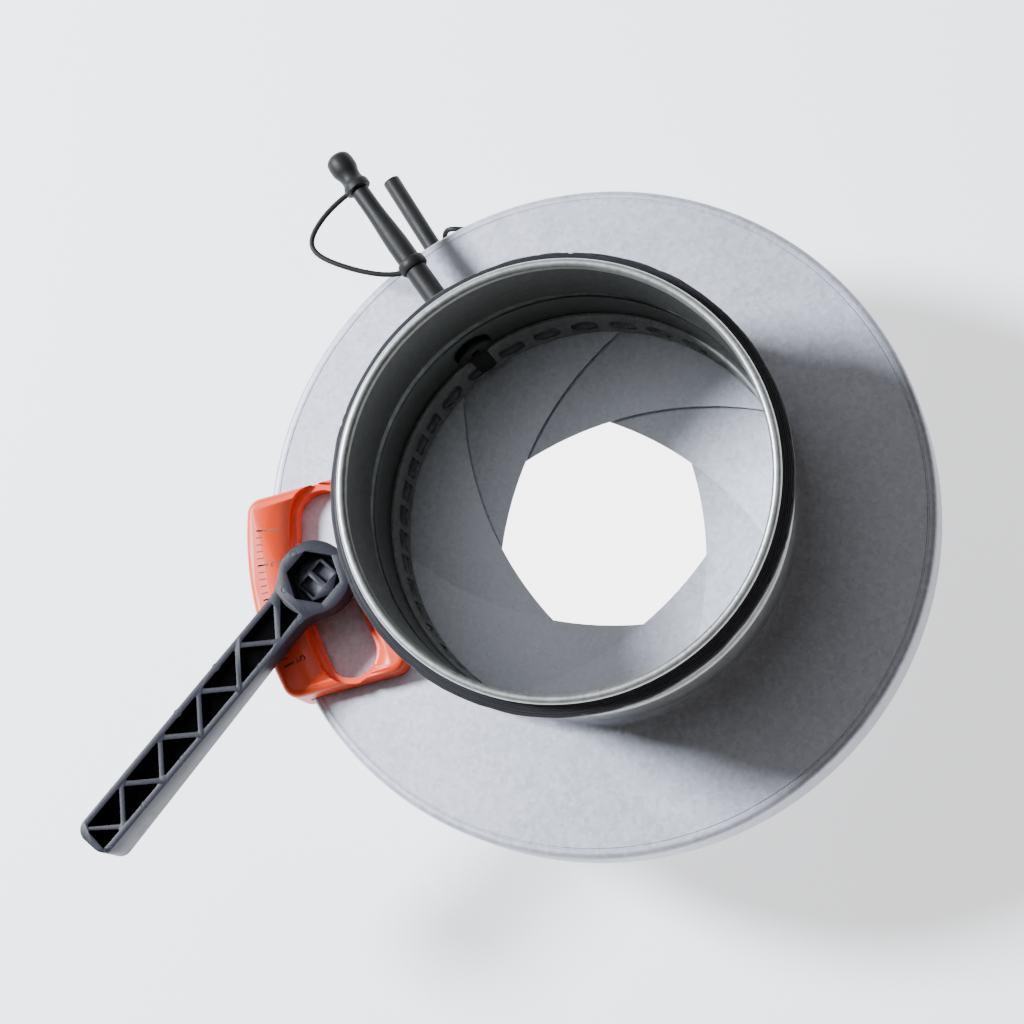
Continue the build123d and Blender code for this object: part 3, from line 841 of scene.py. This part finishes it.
def make_nipples():
    for end, tip in TAP_TIPS.items():
        place = radial_place(end)
        bm = bmesh.new()
        spindle(bm, tube_profile(tip), place, 64)
        tube = finish_mesh(bm, f"{end}_nipple", PLAIN_RUBBER, 45)
        show(tube, "casing", "black_rubber", f"{end}_tap_tube")
        bm = bmesh.new()
        spindle(bm, grommet_profile(), place, 64)
        if end == "front":
            add_tongue(bm, place)
        grommet = finish_mesh(bm, f"{end}_nipple_grommet", PLAIN_RUBBER, 45)
        show(grommet, "casing", "black_rubber", f"{end}_grommet")
    bm = bmesh.new()
    spindle(bm, cap_profile(CAP_START), radial_place("front"), 64)
    show(finish_mesh(bm, "front_stopper", PLAIN_RUBBER, 45), "front_cap", "black_rubber", "front_tap_cap")
    bm = bmesh.new()
    spindle(bm, cap_profile(-1.0), rear_cap_place(), 64)
    show(finish_mesh(bm, "rear_stopper", PLAIN_RUBBER, 45), "rear_cap", "black_rubber", "rear_tap_cap")
    rear = strap_piece("rear_stopper_strap", "rear", REAR_STRAP, 90.5, 2.6)
    show(rear, "rear_cap", "black_rubber", "rear_cap_strap")
    front = strap_piece("front_stopper_strap", "front", FRONT_STRAP, 75.0, 2.84)
    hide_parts("front_cap_strap")
    place = radial_place("front")
    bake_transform(front)


def add_tongue(bm, place):
    """Flat rubber tail of the front grommet, hanging down the bore into the band's slot."""
    width, low, high, inner, outer = 4.6, -17.2, -1.0, 47.3, 48.1
    outline = [(-width / 2, high), (-width / 2, low + 2.3)]
    outline += [(y, low + 2.3 + z) for y, z in arc((0, 0), width / 2, 180, 360, 14)]
    outline += [(width / 2, high)]
    skinned(bm, [[bm.verts.new(place @ (Vector((radius, y, z)) * MM)) for y, z in outline]
                 for radius in (inner, outer)])


# ---- Handle, clamp and inner works ----

HANDLE_TOP = 67.1
SCALE_R = 80.6
SCALE_HALF = math.radians(12.0)


def tick(length, width, radius, name):
    """One printed line across the scale, at azimuth 0."""
    bm = bmesh.new()
    half = width / 2
    corners = ((radius, -half), (radius + length, -half), (radius + length, half), (radius, half))
    skinned(bm, [[bm.verts.new(Vector((x, y, z)) * MM) for x, y in corners]
                 for z in (HANDLE_TOP - 0.02, HANDLE_TOP + 0.03)])
    return finish_mesh(bm, name, INK)


def number(text, azimuth):
    """A scale number, upright towards the duct, printed on the handle."""
    font = bpy.data.curves.new(f"figure_{text}", "FONT")
    font.body = text
    font.size = 3.4 * MM
    font.align_x = "CENTER"
    font.align_y = "CENTER"
    font.extrude = 0.025 * MM
    holder = bpy.data.objects.new("figure", font)
    bpy.context.scene.collection.objects.link(holder)
    bpy.context.view_layer.update()
    mesh = evaluated_mesh(holder, f"figure_{text}")
    at = Vector((math.cos(azimuth), math.sin(azimuth), 0)) * (SCALE_R - 2.4) * MM
    at.z = (HANDLE_TOP + 0.005) * MM
    mesh.transform(Matrix.Translation(at) @ Matrix.Rotation(azimuth - math.pi / 2, 4, "Z"))
    return mesh


def make_scale():
    """Plain dial scale on the handle's outer edge: long and short ticks, and numbers."""
    major, minor = 5, 21
    first = math.pi - SCALE_HALF
    long_ticks = round_copies("long_ticks", tick(2.6, 0.40, SCALE_R - 0.4, "long_tick"), INK, major,
                              first, 2 * SCALE_HALF / (major - 1))
    short_ticks = round_copies("short_ticks", tick(1.5, 0.26, SCALE_R + 0.7, "short_tick"), INK, minor,
                               first, 2 * SCALE_HALF / (minor - 1))
    marks = [long_ticks, short_ticks]
    for i in range(major):
        marks.append(number(str(i + 1), first + 2 * SCALE_HALF * i / (major - 1)))
    show(joined(marks, "handle_scale", INK, merge=0), "drive", "orange_plastic")


def make_handle():
    handle = whole_faced("adjusting_handle", "orange_handle", ORANGE, sharp=28)
    show(handle, "drive", "orange_plastic", "adjusting_handle")
    make_scale()


LEVER_AZ = math.radians(216.1)
CLAMP_AT = Vector((-67.0, 0, 0))
LEVER_TOP = 77.4
LEVER_LENGTH, LEVER_HALF, LEVER_WALL, LEVER_BAYS = 83.0, 5.0, 1.5, 10
LEVER_FLOOR, LEVER_LEVEL, LEVER_END_BOTTOM, LEVER_WEB = 70.6, 22.0, 64.5, 1.2
HEAD_R, SOCKET_FLAT, SOCKET_FLOOR = 8.9, 11.7, 71.8
NECK_R = 10.0
NUT_TOP = 74.0
FIRST_RIB = HEAD_R + 1.0
BAY = (LEVER_LENGTH - LEVER_WALL - FIRST_RIB) / LEVER_BAYS


def ejector_mark(bm, x, y, z, radius, place):
    """Shallow round mark that a mould's ejector pin leaves, as a low ring."""
    levels = [(radius, z), (radius, z + 0.10), (radius - 0.14, z + 0.10), (radius - 0.14, z + 0.02)]
    rings = []
    for r, height in levels:
        points = [Vector((x + r * math.cos(a), y + r * math.sin(a), height)) * MM for a in around(24)]
        rings.append([bm.verts.new(place @ point) for point in points])
    skinned(bm, rings)


def plan_to_side(bm, outline, low, high):
    """Prism over a plan outline; low and high give the heights at each point of it."""
    skinned(bm, [[bm.verts.new(Vector((x, y, height(x))) * MM) for x, y in outline]
                 for height in (low, high)])


def finish_cutting_mesh(bm, name):
    """Faces that aren't flat become triangles first, so that cutting stays exact."""
    bmesh.ops.triangulate(bm, faces=bm.faces)
    return finish_mesh(bm, name, BLACK_NYLON)


def rounded_outline(points, radii, steps=5):
    """Plan outline with each corner rounded by its own radius."""
    out = []
    count = len(points)
    for i, (point, radius) in enumerate(zip(points, radii)):
        here = Vector(point)
        to_before = (Vector(points[i - 1]) - here).normalized()
        to_after = (Vector(points[(i + 1) % count]) - here).normalized()
        if radius <= 0:
            out.append(tuple(here))
            continue
        half = math.acos(max(-1.0, min(1.0, to_before.dot(to_after)))) / 2
        middle = (to_before + to_after).normalized()
        centre = here + middle * (radius / math.sin(half))
        first = here + to_before * (radius / math.tan(half)) - centre
        last = here + to_after * (radius / math.tan(half)) - centre
        turn = first.angle_signed(last)
        for k in range(steps + 1):
            angle = -turn * k / steps
            c, s = math.cos(angle), math.sin(angle)
            out.append((centre.x + first.x * c - first.y * s, centre.y + first.x * s + first.y * c))
    return out


def lever_bottom(x):
    """Underside of the lever: level near its head, then sloping down to its end."""
    if x <= LEVER_LEVEL:
        return LEVER_FLOOR
    return LEVER_FLOOR - (LEVER_FLOOR - LEVER_END_BOTTOM) * (x - LEVER_LEVEL) / (LEVER_LENGTH - LEVER_LEVEL)


def lever_outline():
    """Tail with a rounded end, flaring into the round head."""
    neck_x = math.sqrt((HEAD_R + NECK_R) ** 2 - (LEVER_HALF + NECK_R) ** 2)
    join = math.degrees(math.atan2(LEVER_HALF + NECK_R, neck_x))
    flare = arc((neck_x, LEVER_HALF + NECK_R), NECK_R, 180 + join, 270, 8)
    end = [(60.0, LEVER_HALF), (LEVER_LENGTH, LEVER_HALF), (LEVER_LENGTH, -LEVER_HALF), (60.0, -LEVER_HALF)]
    far = rounded_outline(end, [0, 3.2, 3.2, 0], 6)
    stations = [(LEVER_LEVEL, LEVER_HALF), (32.0, LEVER_HALF), (46.0, LEVER_HALF)]
    upper = flare + stations
    lower = [(x, -y) for x, y in upper[::-1]]
    head = arc((0, 0), HEAD_R, -join - 3, join + 3 - 360, 64)
    return upper + far + lower + head


def pocket_outlines():
    """Pockets left between the side walls and the zigzag of ribs; the first one follows the head."""
    reach = LEVER_HALF - LEVER_WALL
    tip = reach - 0.75
    rib = 0.95
    near = arc((0, 0), HEAD_R + 0.5, -math.degrees(math.asin(tip / HEAD_R)), 20, 4)
    pockets = [near + [(FIRST_RIB + BAY - rib, reach)]]
    for i in range(LEVER_BAYS):
        side = 1 if i % 2 == 0 else -1
        left, right = FIRST_RIB + i * BAY + rib, FIRST_RIB + (i + 2) * BAY - rib
        points = [(left, -side * reach), (FIRST_RIB + (i + 1) * BAY, side * tip), (right, -side * reach)]
        if i == LEVER_BAYS - 1:
            right = LEVER_LENGTH - LEVER_WALL
            points = [(left, -side * reach), (right - 0.6, side * tip), (right, -side * reach)]
        pockets.append(points)
    return pockets


def hexagon_outline(flat):
    radius = flat / math.sqrt(3)
    return [(radius * math.cos(angle), radius * math.sin(angle)) for angle in around(6)]


def anticlockwise(points):
    """The same outline, always anticlockwise."""
    area = sum(a[0] * b[1] - b[0] * a[1] for a, b in zip(points, points[1:] + points[:1]))
    return points if area > 0 else points[::-1]


def lever_hollows():
    """The pockets between the ribs and the hexagon socket in the head, as one cutter."""
    bm = bmesh.new()
    for points in pocket_outlines():
        radii = [0.3] * 3 if len(points) == 3 else [0.0] * len(points)
        corners = anticlockwise(rounded_outline(anticlockwise(points), radii, 3))
        plan_to_side(bm, corners, lambda x: lever_bottom(x) + LEVER_WEB, lambda x: LEVER_TOP + 1)
    socket = rounded_outline(hexagon_outline(SOCKET_FLAT), [0.3] * 6, 3)
    plan_to_side(bm, anticlockwise(socket), lambda x: SOCKET_FLOOR, lambda x: LEVER_TOP + 1)
    return finish_cutting_mesh(bm, "hollows")


def make_ejector_marks(place):
    """Marks on the side walls where ribs meet them, on the head's rim and on the nut."""
    reach = LEVER_HALF - LEVER_WALL / 2
    bm = bmesh.new()
    for i in (0, 2, 3, 5, 6, 8, 10):
        side = -1 if i % 2 == 0 else 1
        x = min(FIRST_RIB + i * BAY, LEVER_LENGTH - 2.2)
        ejector_mark(bm, x, -side * reach, LEVER_TOP - 0.06, 0.95, place)
    for angle in (-28, 28, 150, 262):
        spot = math.radians(angle)
        ejector_mark(bm, 7.6 * math.cos(spot), 7.6 * math.sin(spot), LEVER_TOP - 0.06, 0.85, place)
    for y in (3.3, -3.3):
        ejector_mark(bm, 0.0, y, NUT_TOP - 0.04, 0.7, place)
    show(finish_mesh(bm, "ejector_marks", BLACK_NYLON, 40), "clamp", "black_nylon")


def make_lever():
    place = Matrix.Translation(CLAMP_AT * MM) @ Matrix.Rotation(LEVER_AZ, 4, "Z")
    bm = bmesh.new()
    plan_to_side(bm, anticlockwise(lever_outline()), lever_bottom, lambda x: LEVER_TOP)
    blank = finish_cutting_mesh(bm, "black_lever")
    lever = bevelled(cut(blank, lever_hollows(), BLACK_NYLON), 0.16, BLACK_NYLON)
    lever.data.transform(place)
    show(lever, "clamp", "black_nylon", "clamp_lever")
    nut = bevelled(whole_faced("clamp_nut", "lever_nut", BLACK_NYLON), 0.14, BLACK_NYLON)
    show(nut, "clamp", "black_nylon", "clamp_nut")
    make_ejector_marks(place)


def make_inner_works():
    for node in NODES:
        if node.startswith("blade_"):
            recoat(node, BLADE_METAL)
        elif node.startswith("drive_pin") or node in (
            "pivot_pins", "pivot_ring", "drive_ring", "drive_arm", "arm_rivets", "clamp_stud",
            "clamp_washer",
        ):
            recoat(node, ZINC)
        elif node in ("ring_guide", "ring_retainer"):
            recoat(node, NATURAL_PLASTIC)


# ---- Studio ----

def floor_material():
    """Pale floor that glows a little. Straight through the bore it looks white, but sheds no extra light."""
    g = Graph("studio_floor")
    seen_directly = g.add("ShaderNodeLightPath")
    inside = g.ramp(axis_distance(g) * 10, (0.47, 1.0), (0.53, 0.0)) * seen_directly
    return g.surface(
        base_color=rgb(0.90, 0.905, 0.915),
        roughness=0.9,
        emission_color=g.blend(inside, rgb(0.22, 0.222, 0.226), rgb(1.0, 1.0, 1.0)),
        emission_strength=5.0,
    )


def make_floor():
    bm = bmesh.new()
    half = 3.0
    corners = [bm.verts.new((x * half, y * half, -0.0002)) for x, y in ((-1, -1), (1, -1), (1, 1), (-1, 1))]
    bm.faces.new(corners)
    mesh = bpy.data.meshes.new("floor")
    bm.to_mesh(mesh)
    bm.free()
    floor = bpy.data.objects.new("floor", mesh)
    bpy.context.scene.collection.objects.link(floor)
    mesh.materials.append(floor_material())


def area_light(name, place, target, size, power, colour):
    data = bpy.data.lights.new(name, "AREA")
    data.shape = "DISK"
    data.size = size
    data.energy = power
    data.color = colour
    lamp = bpy.data.objects.new(name, data)
    lamp.location = place
    lamp.rotation_euler = (Vector(target) - Vector(place)).to_track_quat("-Z", "Y").to_euler()
    bpy.context.scene.collection.objects.link(lamp)


def light_at(azimuth, elevation, distance):
    """A place round the part, from an azimuth and a height angle in degrees and a distance in metres."""
    a, e = math.radians(azimuth), math.radians(elevation)
    return Vector((math.cos(e) * math.cos(a), math.cos(e) * math.sin(a), math.sin(e))) * distance


def make_lights():
    middle = (0, 0, 0.06)
    area_light("window_light", light_at(152, 44, 1.3), middle, 0.30, 56.0, (0.87, 0.92, 1.0))
    area_light("overhead_sheen", light_at(120, 74, 1.7), middle, 1.1, 3.5, (0.92, 0.95, 1.0))
    world = bpy.data.worlds.new("studio")
    bpy.context.scene.world = world
    world.use_nodes = True
    background = world.node_tree.nodes["Background"]
    background.inputs["Color"].default_value = (1.0, 0.95, 0.88, 1)
    background.inputs["Strength"].default_value = 0.11


def make_camera():
    data = bpy.data.cameras.new("camera")
    data.lens = 105.47
    data.sensor_width = 36.0
    data.clip_end = 20.0
    camera = bpy.data.objects.new("camera", data)
    camera.location = (0.09615, -0.15862, 0.75668)
    camera.rotation_euler = Euler([math.radians(a) for a in (10.756, 12.131, -12.914)], "XYZ")
    bpy.context.scene.collection.objects.link(camera)
    bpy.context.scene.camera = camera


make_camera()
make_lights()
make_floor()
make_front_casing()
make_rear_casing()
make_spigots()
make_seals()
make_band()
make_nipples()
make_handle()
make_lever()
make_inner_works()

bpy.context.view_layer.update()
